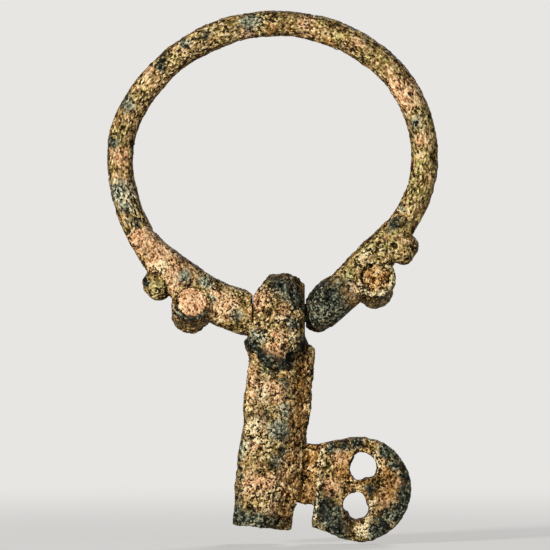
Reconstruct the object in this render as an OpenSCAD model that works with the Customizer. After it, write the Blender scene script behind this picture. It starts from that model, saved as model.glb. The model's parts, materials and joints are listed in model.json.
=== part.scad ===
// Folding ring key: a finger hoop with two shoulders, hinged to a short key with a pierced bit.
// Frame: +Z up, +X to the right, -Y to the front, with the middle of the hoop at the origin.
// The hoop hangs from above and the key hangs below it on the hinge pin.

/* [Hoop] */
// Half the width of the hoop, to the middle of its bar
hoop_half_w = 11.5; // [11.3:0.1:13]
// Height of the crown above the widest level, to the middle of the bar
hoop_crown_h = 10; // [9.7:0.1:11]
// Radius of the bend between the left side and the crown
left_bend_r = 7.3; // [6.5:0.1:9]
// Radius of the bend between the right side and the crown
right_bend_r = 9.4; // [8:0.1:9.6]
// Diameter of the bar
bar_d = 2.1; // [1.8:0.05:2.3]
// Radius of the left side below the widest level
left_side_r = 12.2; // [11:0.1:13]
// Angle that the bar turns through down the left side
left_side_angle = 26.5; // [22:0.5:30]
// Radius of the right side below the widest level
right_side_r = 8.5; // [7.5:0.1:9.5]
// Angle that the bar turns through down the right side
right_side_angle = 31; // [26:0.5:35]
// Diameter of the tenon at each end of the bar
tenon_d = 1.2; // [0.8:0.05:1.4]
// Length of the tenon at each end of the bar
tenon_l = 1.2; // [0.8:0.1:1.6]

/* [Shoulders] */
// Width of a shoulder at its bead and collet
arm_w = 3.2; // [2.8:0.1:3.6]
// Thickness of a shoulder, front to back
arm_t = 2.6; // [2.3:0.1:3]
// Squareness of a shoulder's section, where 2 is an ellipse
arm_square = 2.6; // [2:0.1:4]
// Pull of the left shoulder along the line of the bar
left_bar_pull = 4; // [3:0.1:5]
// Pull of the left shoulder along the line of the hinge
left_lug_pull = 2; // [1.6:0.1:3]
// Pull of the right shoulder along the line of the bar
right_bar_pull = 4; // [3:0.1:5]
// Pull of the right shoulder along the line of the hinge
right_lug_pull = 1.3; // [1:0.1:2]
// Diameter of the left lug at the hinge
left_lug_d = 3.6; // [3:0.1:3.8]
// Diameter of the right lug, behind its nose
right_lug_d = 4.2; // [3.6:0.1:4.4]
// Diameter of the right lug's nose at the hinge
right_nose_d = 2.2; // [2:0.1:3]
// Place along a shoulder where it reaches its full width, from 0 at the bar to 1 at the hinge
full_ratio = 0.45; // [0.3:0.01:0.5]
// Place along a shoulder where its lug starts to swell
lug_ratio = 0.55; // [0.5:0.01:0.65]
// Place along a shoulder where the lug's nose starts
nose_ratio = 0.75; // [0.7:0.01:0.85]
// Place along the left shoulder of its empty pellet seat
dimple_ratio = 0.2; // [0.12:0.01:0.22]
// Distance of the empty pellet seat out from the shoulder's middle line
dimple_out = 0.55; // [0.3:0.05:0.7]
// Diameter of the ball that fits the empty pellet seat
dimple_d = 1.4; // [1:0.1:1.8]
// Depth of the empty pellet seat
dimple_depth = 0.25; // [0.1:0.05:0.4]

/* [Beads and collets] */
// Diameter of the bead on each shoulder's outer edge
bead_d = 2.4; // [2:0.1:2.6]
// Distance of a bead's middle in from the shoulder's outer edge
bead_inset = 0.15; // [0:0.05:0.4]
// Place of the left bead along its shoulder, from 0 at the bar to 1 at the hinge
left_bead_ratio = 0.33; // [0.28:0.01:0.36]
// Place of the right bead along its shoulder
right_bead_ratio = 0.18; // [0.15:0.01:0.2]
// Diameter of the small pellet on the right shoulder
pellet_d = 1; // [0.7:0.05:1.2]
// Distance of the pellet in from the shoulder's middle line
pellet_in = 0.3; // [0.1:0.05:0.5]
// Place of the pellet along the right shoulder
pellet_ratio = 0.07; // [0.05:0.01:0.1]
// Diameter of a collet
collet_d = 2.95; // [2.6:0.05:3.1]
// Distance of a collet's middle in from the shoulder's outer edge
collet_inset = 0.3; // [0.1:0.05:0.5]
// Place of the left collet along its shoulder
left_collet_ratio = 0.55; // [0.53:0.01:0.6]
// Place of the right collet along its shoulder
right_collet_ratio = 0.41; // [0.39:0.01:0.46]
// Length of a collet along its own axis
collet_l = 3.3; // [3:0.1:3.8]
// Thickness of a collet's rim
collet_rim = 0.35; // [0.25:0.05:0.5]
// Depth of the cup in a collet
cup_depth = 0.65; // [0.5:0.05:0.9]
// Angle that a collet's face looks up
collet_tilt = 18; // [0:1:25]
// Height of the inlay's edge in the cup
inlay_edge = 0.35; // [0.2:0.05:0.45]
// Rise of the inlay's middle above its edge
inlay_dome = 0.12; // [0.05:0.01:0.15]

/* [Hinge] */
// Drop of the hinge axis below the hoop's widest level
hinge_drop = 11.85; // [11.5:0.05:12.4]
// Distance of the hinge's middle to the right of the hoop's middle
hinge_x = 0.5; // [0:0.1:0.8]
// Gap between the two lugs
lug_gap = 4.2; // [3.8:0.1:4.4]
// Clearance between a lug and the knuckle, along the pin
side_clear = 0.15; // [0.1:0.01:0.25]
// Clearance round the lugs for the key to swing
swing_clear = 0.3; // [0.2:0.05:0.4]
// Diameter of the hinge pin
pin_d = 1.4; // [1.1:0.05:1.6]
// Running clearance round the pin, on its radius
pin_clear = 0.05; // [0.02:0.01:0.09]
// Depth of the pin's socket in each lug
pin_socket = 1.8; // [1.2:0.1:2]

/* [Knuckle] */
// Width of the knuckle, left to right
knuckle_w = 5.2; // [4.7:0.1:5.4]
// Thickness of the knuckle, front to back
knuckle_t = 5.2; // [4.4:0.1:5.6]
// Height of the knuckle
knuckle_h = 7.5; // [7:0.1:8]
// Drop of the knuckle's middle below the hinge axis
knuckle_drop = 0.7; // [0.4:0.05:0.9]
// Squareness of the knuckle's outline, where 2 is an ellipse
knuckle_square = 2.4; // [2:0.1:3]
// How far the knuckle's chin stands out at its lower front
chin_out = 0.5; // [0.2:0.05:0.6]
// Drop of the chin's middle below the hinge axis
chin_drop = 3.6; // [3.3:0.1:4]
// Radius of the chin
chin_r = 1.9; // [1.4:0.1:2.1]
// Distance of the upper left flat from the hinge axis
left_flat = 2.35; // [2.2:0.05:2.8]
// Angle that the upper left flat looks up
left_flat_rise = 30; // [15:1:45]
// Distance of the upper right flat from the hinge axis
right_flat = 2.3; // [2.2:0.05:2.8]
// Angle that the upper right flat looks up
right_flat_rise = 36; // [15:1:45]
// Angle that the upper right flat looks round to the front
right_flat_turn = 32; // [0:1:45]
// Height of the cast swellings on the knuckle
knuckle_swell = 0.14; // [0:0.01:0.15]
// Diameter of the tang under the knuckle
tang_d = 1.6; // [1.2:0.1:2]
// Length of the tang below the knuckle
tang_l = 2.2; // [1.6:0.1:3]

/* [Shank] */
// Angle that the key leans from upright
key_lean = 6; // [0:0.5:7]
// Width of the shank
shank_w = 5; // [4.6:0.1:5.2]
// Thickness of the shank, front to back
shank_t = 3.9; // [3.4:0.1:4.4]
// Distance of the shank's middle to the right of the knuckle's middle
shank_shift = 0.6; // [0.3:0.05:0.7]
// Drop of the shank's head below the hinge axis
shank_head = 2.1; // [1.9:0.1:2.6]
// Drop of the shank's end below the hinge axis
shank_end = 16.25; // [15:0.05:17.5]
// Bevel of the shank's plain edges
shank_bevel = 0.5; // [0.2:0.05:0.8]
// Bevel of the shank's front edge beside the bit, across the front
bit_bevel_w = 2.1; // [0.8:0.05:2.3]
// Bevel of the shank's front edge beside the bit, into the side
bit_bevel_t = 1.35; // [0.8:0.05:1.5]
// Narrowing of the shank's foot on the bit's side
foot_taper = 0.5; // [0:0.05:0.6]
// Height of the cast swellings on the shank
shank_swell = 0.14; // [0:0.01:0.2]
// Spacing of the cast swellings along the key
swell_pitch = 3.2; // [2.6:0.1:5]

/* [Bit] */
// Radius of the bit's round edge
bit_r = 3.95; // [3.7:0.05:4.1]
// Thickness of the bit
bit_t = 2.4; // [2:0.1:2.8]
// Distance of the bit's middle from its straight edge
bit_cut = 3.3; // [3:0.05:3.4]
// Height of the bit's straight edge
bit_edge_h = 6.3; // [5.4:0.1:6.6]
// Drop of the bit's middle below the hinge axis
bit_drop = 12.6; // [12.2:0.05:13.2]
// Diameter of the two holes in the bit
hole_d = 2.05; // [1.6:0.05:2.2]
// Distance between the two holes
hole_pitch = 3; // [2.8:0.05:3.2]
// Rise of the holes' middle above the bit's middle
hole_rise = 0.2; // [0:0.05:0.4]
// Angle that the line of the holes turns from upright in the bit
hole_turn = 4; // [0:0.5:8]
// Length of the web between shank and bit
web_l = 1; // [0.7:0.05:1.1]
// Thickness of the web
web_t = 1.2; // [1:0.1:1.6]
// Height of the web
web_h = 4.6; // [3.5:0.1:5]
// Rise of the web's middle above the bit's middle
web_rise = 0.75; // [0.2:0.05:0.9]
// Depth of the web's tenon in the shank
web_tenon = 1.3; // [0.8:0.1:1.8]
// Depth of the web's root inside the bit
web_root = 0.6; // [0.3:0.1:0.8]

/* [Joints] */
// Gap for solder in each fixed joint
solder = 0.02; // [0.01:0.01:0.04]

/* [Hidden] */
$fn = 64;

bronze = "#8f7a55";
dark_bronze = "#5b5a48";
fill_red = "#b9775a";

// Fineness of the bar, the swept shoulders, the knuckle and the shank
bar_step = 4;
bar_sides = 24;
arm_rings = 26;
arm_sides = 28;
knuckle_rings = 18;
knuckle_sides = 32;
shank_rings = 20;
shank_face_steps = 5;

// Angle that the cast swellings slew round a piece, and the pace of the slower wave under them
swell_slew = 150;
slow_wave_ratio = 0.6;

// The crown's arc is tangent to both bends, which gives a quadratic in its middle's x
left_inset = hoop_half_w - left_bend_r;
right_inset = hoop_half_w - right_bend_r;
left_rise = hoop_crown_h - left_bend_r;
right_rise = hoop_crown_h - right_bend_r;
rise_ratio = right_rise / left_rise;
half_sum = right_inset + rise_ratio * left_inset;
left_term = pow(left_inset, 2) - pow(left_rise, 2);
right_term = pow(right_inset, 2) - pow(right_rise, 2);
rest_term = right_term - rise_ratio * left_term;
crown_x = rest_term / (half_sum + sqrt(pow(half_sum, 2) - (1 - rise_ratio) * rest_term));
crown_drop = (pow(left_inset + crown_x, 2) - pow(left_rise, 2)) / (2 * left_rise);
crown_r = hoop_crown_h + crown_drop;
left_bend_angle = atan2(crown_drop, left_inset + crown_x);
right_bend_angle = atan2(crown_drop, right_inset - crown_x);

// Arcs of the bar from its right end to its left end, as [x, z, radius, first angle, last angle]
bar_arcs = [
    [hoop_half_w - right_side_r, 0, right_side_r, -right_side_angle, 0],
    [right_inset, 0, right_bend_r, 0, right_bend_angle],
    [crown_x, -crown_drop, crown_r, right_bend_angle, 180 - left_bend_angle],
    [-left_inset, 0, left_bend_r, 180 - left_bend_angle, 180],
    [left_side_r - hoop_half_w, 0, left_side_r, 180, 180 + left_side_angle]
];

// Ends of the bar and the way it leaves them, as [x, z]
left_end = [
    left_side_r * (1 - cos(left_side_angle)) - hoop_half_w,
    -left_side_r * sin(left_side_angle)
];
left_way = [sin(left_side_angle), -cos(left_side_angle)];
right_end = [
    hoop_half_w - right_side_r * (1 - cos(right_side_angle)),
    -right_side_r * sin(right_side_angle)
];
right_way = [-sin(right_side_angle), -cos(right_side_angle)];

// Middle lines of the two shoulders, as cubic curves from the bar to the hinge
left_face = [hinge_x - lug_gap / 2, -hinge_drop];
right_face = [hinge_x + lug_gap / 2, -hinge_drop];
left_line = [
    left_end, left_end + left_bar_pull * left_way, left_face - [left_lug_pull, 0], left_face
];
right_line = [
    right_end, right_end + right_bar_pull * right_way, right_face + [right_lug_pull, 0], right_face
];

// Extra length of a cut, to run clear of the face it starts from
cut = 1;

pin_l = lug_gap + 2 * (pin_socket - solder);
cup_d = collet_d - 2 * collet_rim;
shank_side = shank_shift + shank_w / 2;
bit_edge = shank_side + web_l;
bit_x = bit_edge + bit_cut;

function mix(a, b, t) = a + (b - a) * t;
function ease(t) = let (u = min(max(t, 0), 1)) u * u * (3 - 2 * u);
function power(v, e) = sign(v) * pow(abs(v), e);
function unit(v) = v / norm(v);

// How far a cast face swells out, by the angle round the piece and the place along it
function swelling(height, angle, along) =
    let (turn = 360 * along / swell_pitch)
    height * (sin(turn + swell_slew * sin(angle)) + sin(slow_wave_ratio * turn + 2 * angle)) / 2;

// A point on a cubic curve
function on_curve(line, t) =
    pow(1 - t, 3) * line[0] + 3 * pow(1 - t, 2) * t * line[1]
    + 3 * (1 - t) * t * t * line[2] + pow(t, 3) * line[3];

// The unit vector across a shoulder, away from the middle of the hoop, turning evenly along it
function outwards(line, t) =
    let (d = unit(mix(unit(line[1] - line[0]), unit(line[3] - line[2]), t)), across = [-d[1], d[0]])
    across * on_curve(line, t) > 0 ? across : -across;

// A point beside a shoulder's middle line, at a distance out and at a depth y
function beside(line, t, out, y = 0) =
    let (p = on_curve(line, t) + out * outwards(line, t)) [p[0], y, p[1]];

// A size of a shoulder before its lug: the bar's at first, then the shoulder's own
function arm_size(size, t) = mix(bar_d, size, ease(t / full_ratio));

// Half of a shoulder's size anywhere, with its lug and the lug's nose
function lug_share(t) = ease((t - lug_ratio) / (1 - lug_ratio));
function nose_share(t) = pow(max(0, (t - nose_ratio) / (1 - nose_ratio)), 2);
function half_size(size, t, lug_d, nose_d) =
    mix(arm_size(size, t), lug_d, lug_share(t)) * mix(1, nose_d / lug_d, nose_share(t)) / 2;
function squareness(t) = mix(2, arm_square, ease(4 * t * (1 - t)));

// One ring of a shoulder's sweep, turning one way on the left and the other way on the right
function arm_ring(line, t, lug_d, nose_d) =
    let (
        a = half_size(arm_w, t, lug_d, nose_d),
        b = half_size(arm_t, t, lug_d, nose_d) * (line[0][0] < 0 ? 1 : -1),
        e = 2 / squareness(t)
    )
    [for (i = [0 : arm_sides - 1])
        let (w = 360 * (i + 0.5) / arm_sides)
        beside(line, t, a * power(cos(w), e), b * power(sin(w), e))];

// Steps along a shoulder, closer together where its nose turns in
function arm_step(i) = let (u = i / (arm_rings - 1)) 1 - pow(1 - u, 1.5);

// One ring of the bar, at an angle on one of its arcs
function bar_ring(arc, angle) =
    [for (i = [0 : bar_sides - 1])
        let (w = 360 * (i + 0.5) / bar_sides, r = arc[2] + bar_d / 2 * cos(w))
        [arc[0] + r * cos(angle), bar_d / 2 * sin(w), arc[1] + r * sin(angle)]];

// All rings of the bar, with the last ring of each arc left to the next arc
bar_rings = concat(
    [for (arc = bar_arcs)
        let (n = ceil((arc[4] - arc[3]) / bar_step))
        for (i = [0 : n - 1]) bar_ring(arc, mix(arc[3], arc[4], i / n))],
    [bar_ring(bar_arcs[4], bar_arcs[4][4])]
);

// A closed skin over rings of equal counts, capped by a point at each end
module skin(rings, first_tip, last_tip) {
    n = len(rings[0]);
    m = len(rings);
    sides = [for (j = [0 : m - 2]) for (i = [0 : n - 1])
        let (a = j * n + i, b = j * n + (i + 1) % n) each [[a, a + n, b], [b, a + n, b + n]]];
    first_cap = [for (i = [0 : n - 1]) [n * m, i, (i + 1) % n]];
    last_cap = [for (i = [0 : n - 1]) [n * m + 1, (m - 1) * n + (i + 1) % n, (m - 1) * n + i]];
    polyhedron(
        points = concat([for (r = rings) each r], [first_tip, last_tip]),
        faces = concat(sides, first_cap, last_cap)
    );
}

// Turns what lies along +Z to face the front
module to_front() {
    rotate([90, 0, 0]) children();
}

// A rod out of one of the bar's ends, from inside the bar
module end_rod(end, way, d, l) {
    translate([end[0], 0, end[1]]) rotate([0, 90 - atan2(way[1], way[0]), 0]) translate([0, 0, -cut])
        cylinder(d = d, h = cut + l);
}

// A rod along the hinge axis between two places in x
module hinge_rod(x0, x1, d) {
    translate([x0, 0, -hinge_drop]) rotate([0, 90, 0]) cylinder(d = d, h = x1 - x0);
}

// The key's own upright frame: hinge at the origin, leaning about the front axis
module key_frame() {
    translate([hinge_x, 0, -hinge_drop]) rotate([0, key_lean, 0]) children();
}

// A ball at a bead's place on a shoulder
module bead_ball(line, t, d) {
    translate(beside(line, t, arm_size(arm_w, t) / 2 - bead_inset)) sphere(d = d);
}

// A collet's own frame: its middle at the origin and its face towards +Z
module collet_frame(line, t) {
    translate(beside(line, t, arm_size(arm_w, t) / 2 - collet_inset)) rotate([90 - collet_tilt, 0, 0])
        children();
}

// The bent bar, with a tenon at each end
module hoop_bar() {
    color(bronze) union() {
        skin(bar_rings, [right_end[0], 0, right_end[1]], [left_end[0], 0, left_end[1]]);
        end_rod(right_end, right_way, tenon_d, tenon_l);
        end_rod(left_end, left_way, tenon_d, tenon_l);
    }
}

// The swept body of a shoulder
module arm(line, lug_d, nose_d) {
    skin(
        [for (i = [0 : arm_rings - 1]) arm_ring(line, arm_step(i), lug_d, nose_d)],
        beside(line, 0, 0), beside(line, 1, 0)
    );
}

// Seats that are cut from a shoulder for its bead, its collet and the bar's tenon
module arm_seats(line, end, way, bead_at, collet_at) {
    bead_ball(line, bead_at, bead_d + 2 * solder);
    collet_frame(line, collet_at)
        cylinder(d = collet_d + 2 * solder, h = collet_l + 2 * arm_t, center = true);
    end_rod(end, way, tenon_d + 2 * solder, tenon_l + solder);
}

module left_shoulder() {
    color(bronze) difference() {
        arm(left_line, left_lug_d, left_lug_d);
        arm_seats(left_line, left_end, left_way, left_bead_ratio, left_collet_ratio);
        hinge_rod(left_face[0] - pin_socket, left_face[0] + cut, pin_d + 2 * solder);
        translate(beside(left_line, dimple_ratio, dimple_out, dimple_depth - (bar_d + dimple_d) / 2))
            sphere(d = dimple_d);
    }
}

module right_shoulder() {
    color(bronze) difference() {
        arm(right_line, right_lug_d, right_nose_d);
        arm_seats(right_line, right_end, right_way, right_bead_ratio, right_collet_ratio);
        hinge_rod(right_face[0] - cut, right_face[0] + pin_socket, pin_d + 2 * solder);
        pellet_ball(pellet_d + 2 * solder);
    }
}

module bead(line, t) {
    color(bronze) bead_ball(line, t, bead_d);
}

// A ball on the front of the right shoulder, beside the end of the bar
module pellet_ball(d) {
    translate(beside(right_line, pellet_ratio, -pellet_in, -bar_d / 2)) sphere(d = d);
}

module right_pellet() {
    color(bronze) pellet_ball(pellet_d);
}

// A drum with a cup in its face
module collet(line, t) {
    color(dark_bronze) collet_frame(line, t) difference() {
        cylinder(d = collet_d, h = collet_l, center = true);
        translate([0, 0, collet_l / 2 - cup_depth]) cylinder(d = cup_d, h = cup_depth + cut);
    }
}

// A low dome that fills the cup of a collet
module inlay(line, t) {
    d = cup_d - 2 * solder;
    ball_r = (d * d / 4 + inlay_dome * inlay_dome) / (2 * inlay_dome);
    color(fill_red) collet_frame(line, t) translate([0, 0, collet_l / 2 - cup_depth]) intersection() {
        cylinder(d = d, h = inlay_edge + 2 * inlay_dome);
        translate([0, 0, inlay_edge + inlay_dome - ball_r]) sphere(r = ball_r);
    }
}

module hinge_pin() {
    color(dark_bronze) hinge_rod(hinge_x - pin_l / 2, hinge_x + pin_l / 2, pin_d);
}

// The knuckle's rounded body in the key's frame, grown on every side
module knuckle_body(grow = 0) {
    a = knuckle_w / 2 + grow;
    b = knuckle_t / 2 + grow;
    c = knuckle_h / 2 + grow;
    e = 2 / knuckle_square;
    function ring(lat) = [for (i = [0 : knuckle_sides - 1])
        let (
            w = 360 * (i + 0.5) / knuckle_sides,
            s = power(cos(lat), e),
            z = c * power(sin(lat), e) - knuckle_drop,
            swell = swelling(knuckle_swell, w, z),
            x = (a + swell) * s * power(cos(w), e),
            y = (b + swell) * s * power(sin(w), e),
            chin = y < 0 ? chin_out * ease(1 - norm([x, z + chin_drop]) / chin_r) : 0
        )
        [x, y - chin, z]];
    skin(
        [for (j = [1 : knuckle_rings]) ring(180 * j / (knuckle_rings + 1) - 90)],
        [0, 0, -c - knuckle_drop], [0, 0, c - knuckle_drop]
    );
}

// What lies beyond a flat on the knuckle, on the left or the right of the hinge axis
module beyond_flat(side, distance, rise, turn = 0) {
    mirror([side == "left" ? 1 : 0, 0, 0]) rotate([0, -rise, 0]) rotate([0, 0, -turn])
        translate([distance, -knuckle_t, -knuckle_h]) cube([knuckle_h, 2 * knuckle_t, 2 * knuckle_h]);
}

// Room round each lug for the key to turn in
module lug_room() {
    far = knuckle_w + shank_w;
    hinge_rod(left_face[0] - far, left_face[0] + side_clear, left_lug_d + 2 * swing_clear);
    hinge_rod(right_face[0] - side_clear, right_face[0] + far, right_lug_d + 2 * swing_clear);
}

// A rod down the middle of the shank, from inside the knuckle
module tang(d, l) {
    translate([0, 0, -knuckle_drop - knuckle_h / 2 - l]) cylinder(d = d, h = l + knuckle_h / 4);
}

module knuckle() {
    color(dark_bronze) difference() {
        key_frame() {
            difference() {
                knuckle_body();
                beyond_flat("left", left_flat, left_flat_rise);
                beyond_flat("right", right_flat, right_flat_rise, right_flat_turn);
            }
            tang(tang_d, tang_l);
        }
        lug_room();
        hinge_rod(left_face[0] - knuckle_w, right_face[0] + knuckle_w, pin_d + 2 * pin_clear);
    }
}

// Corners of the shank's section, seen from above: front down, bit to the right
shank_corners = let (w = shank_w / 2, t = shank_t / 2) [
    [-w, shank_bevel - t], [shank_bevel - w, -t],
    [w - bit_bevel_w, -t], [w, bit_bevel_t - t],
    [w, t - shank_bevel], [w - shank_bevel, t],
    [shank_bevel - w, t], [-w, t - shank_bevel]
];

// One ring of the shank at a drop below the hinge axis, with its faces in steps and its bevels whole
function shank_ring(drop) =
    let (taper = foot_taper * ease((drop - bit_drop) / (shank_end - bit_drop)))
    [for (i = [0 : len(shank_corners) - 1])
        let (
            first = shank_corners[i],
            last = shank_corners[(i + 1) % len(shank_corners)],
            steps = i % 2 == 1 ? shank_face_steps : 1
        )
        for (k = [0 : steps - 1])
            let (
                flat = mix(first, last, k / steps),
                swell = swelling(shank_swell, atan2(flat[1], flat[0]), drop),
                p = flat + swell * unit(flat)
            )
            [shank_shift + p[0] - taper * (0.5 + p[0] / shank_w), p[1], -drop]];

// The shank's whole body, cut flat at its foot
module shank_body() {
    foot = shank_end + cut;
    difference() {
        skin(
            [for (j = [0 : shank_rings]) shank_ring(mix(foot, shank_head, j / shank_rings))],
            [shank_shift, 0, -foot], [shank_shift, 0, -shank_head]
        );
        translate([shank_shift - shank_w, -shank_t, -foot - cut])
            cube([2 * shank_w, 2 * shank_t, 2 * cut]);
    }
}

// The plate between shank and bit, with its tenon, grown on every side
module web(grow = 0) {
    to_front() linear_extrude(height = web_t + 2 * grow, center = true)
        translate([shank_side - web_tenon - grow, web_rise - bit_drop - web_h / 2 - grow])
            square([web_tenon + web_l + web_root + grow, web_h + 2 * grow]);
}

module shank() {
    color(bronze) difference() {
        key_frame() difference() {
            shank_body();
            knuckle_body(solder);
            tang(tang_d + 2 * solder, tang_l + solder);
            web(solder);
        }
        lug_room();
    }
}

// Outline of the bit: a disc, widened by straight edges to a flat edge beside the shank
module bit_outline() {
    corner = [-bit_cut, bit_edge_h / 2];
    reach = norm(corner);
    touch = atan2(corner[1], corner[0]) - acos(min(1, bit_r / reach));
    rim = bit_r * [cos(touch), sin(touch)];
    circle(r = bit_r);
    polygon([corner, rim, [0, 0], [rim[0], -rim[1]], [corner[0], -corner[1]]]);
}

module bit() {
    color(bronze) key_frame() union() {
        to_front() linear_extrude(height = bit_t, center = true) difference() {
            translate([bit_x, -bit_drop]) intersection() {
                bit_outline();
                translate([-bit_cut, -2 * bit_r]) square([4 * bit_r, 4 * bit_r]);
            }
            for (side = [-1, 1])
                translate([bit_x, hole_rise - bit_drop]) rotate(-hole_turn)
                    translate([0, side * hole_pitch / 2]) circle(d = hole_d);
        }
        web();
    }
}

hoop_bar();
left_shoulder();
right_shoulder();
bead(left_line, left_bead_ratio);  // left_bead
bead(right_line, right_bead_ratio);  // right_bead
right_pellet();
collet(left_line, left_collet_ratio);  // left_collet
collet(right_line, right_collet_ratio);  // right_collet
inlay(left_line, left_collet_ratio);  // left_inlay
inlay(right_line, right_collet_ratio);  // right_inlay
hinge_pin();
knuckle();
shank();
bit();
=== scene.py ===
import json
import math

import bpy
import numpy as np
from bpy.props import FloatProperty, FloatVectorProperty, PointerProperty
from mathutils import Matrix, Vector


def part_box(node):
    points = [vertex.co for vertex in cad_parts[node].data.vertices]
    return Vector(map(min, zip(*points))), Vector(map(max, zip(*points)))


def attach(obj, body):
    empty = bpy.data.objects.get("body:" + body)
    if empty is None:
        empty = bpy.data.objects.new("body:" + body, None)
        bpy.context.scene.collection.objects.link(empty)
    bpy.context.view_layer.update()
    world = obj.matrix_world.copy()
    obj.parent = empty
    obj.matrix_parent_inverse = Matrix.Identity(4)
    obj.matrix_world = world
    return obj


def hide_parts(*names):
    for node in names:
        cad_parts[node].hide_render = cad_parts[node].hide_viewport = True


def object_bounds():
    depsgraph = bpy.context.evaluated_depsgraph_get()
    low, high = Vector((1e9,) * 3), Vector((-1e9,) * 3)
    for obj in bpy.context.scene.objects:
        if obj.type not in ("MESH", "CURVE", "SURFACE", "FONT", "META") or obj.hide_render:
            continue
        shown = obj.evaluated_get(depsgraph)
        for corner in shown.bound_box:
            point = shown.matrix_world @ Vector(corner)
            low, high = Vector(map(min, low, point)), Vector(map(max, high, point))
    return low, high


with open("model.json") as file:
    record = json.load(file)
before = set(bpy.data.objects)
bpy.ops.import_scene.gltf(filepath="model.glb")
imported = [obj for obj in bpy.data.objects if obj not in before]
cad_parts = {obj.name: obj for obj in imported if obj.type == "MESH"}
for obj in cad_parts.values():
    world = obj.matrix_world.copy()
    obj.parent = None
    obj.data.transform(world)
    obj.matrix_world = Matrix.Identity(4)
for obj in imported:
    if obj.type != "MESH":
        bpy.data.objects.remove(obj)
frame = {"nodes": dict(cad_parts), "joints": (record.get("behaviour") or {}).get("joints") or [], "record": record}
CAD_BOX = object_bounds()

bl_info = {
    "name": "Folding Ring Key",
    "version": (1, 0, 0),
    "blender": (4, 5, 0),
    "location": "View3D > Sidebar > Ring Key",
    "description": "Dresses the folding ring key as old cast bronze under a grainy crust",
    "category": "Add Mesh",
}

# Pieces are worked at the bench in millimetres and brought back to metres when done
MM = 0.001

# Points closer than this at the bench are one
WELD = 0.001

# The hinge's middle, how far its cheeks lie to either side, and the bar's two ends
HINGE = Vector(frame["joints"][0]["pos_m"]) / MM
CHEEK = 2.05
SEAMS = np.array(((-10.22, 0.0, -5.44), (10.29, 0.0, -4.38)))

# Reach and fade of the zones where a skin has to stay close to its solid
CHEEK_ROUND = (3.0, 0.6)
CHEEK_DEEP = (0.4, 0.25)
BORE_ROUND = (1.2, 0.3)
SEAM_ROUND = (1.5, 0.5)
SEAM_HOLD = 0.8

# How much of the wear is held back in those zones, and what is left there of the relief
HELD_BACK = 0.8
HELD_SHARE = 0.15
HELD_LEVEL = 0.6

# Levels of the relief's textures that leave the skin where it is
SWELL_LEVEL = 0.58
LUMP_LEVEL = 0.62
GRAIN_LEVEL = 0.62
PIT_LEVEL = 1.0

# Stops of the pits' texture, from the floor of a pit up to the whole skin
PIT_STOPS = ((0.24, 0.0), (0.40, 1.0))

# How far a normal may lean to the front or the back on a flank, and the fade
FLANK = (0.85, 0.6)

# Steps between weights 0 and 1, and smoothing passes for a wear as wide as the skin's step
GROUP_LEVELS = 50
SMOOTHING = 3

# Body of each node
BODY_OF = {
    node: body
    for body, nodes in frame["record"]["behaviour"]["bodies"].items()
    for node in nodes
}


# Properties that a user would change


def length(name, description, metres):
    """A length, with its default in metres."""
    return FloatProperty(
        name=name,
        description=description,
        default=metres,
        min=0.0,
        precision=6,
        subtype="DISTANCE",
        unit="LENGTH",
    )


def colour(name, description, rgb):
    """A colour, with its default as red, green and blue."""
    return FloatVectorProperty(
        name=name,
        description=description,
        default=rgb,
        min=0.0,
        max=1.0,
        size=3,
        subtype="COLOR",
    )


def strength(name, description, level):
    """The strength of a light, with its default."""
    return FloatProperty(name=name, description=description, default=level)


class RingKeySizes(bpy.types.PropertyGroup):
    """Sizes of the worn skin that lies over the castings."""

    skin_step: length("Skin step", "Spacing of the points on a casting", 68e-6)
    fine_step: length("Fine step", "Spacing of the points on a small fitting", 50e-6)
    swell_pitch: length("Swell pitch", "Spacing of the broad swellings", 3.1e-3)
    swell_height: length("Swell height", "Height of the broad swellings", 0.20e-3)
    lump_pitch: length("Lump pitch", "Spacing of the lumps", 0.95e-3)
    lump_height: length("Lump height", "Height of the lumps", 0.20e-3)
    grain_pitch: length("Grain pitch", "Spacing of the crust's grains", 0.30e-3)
    grain_height: length("Grain height", "Height of the crust's grains", 0.18e-3)
    pit_pitch: length("Pit pitch", "Spacing of the eaten pits", 0.62e-3)
    pit_depth: length("Pit depth", "Depth of the eaten pits", 0.18e-3)


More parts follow.
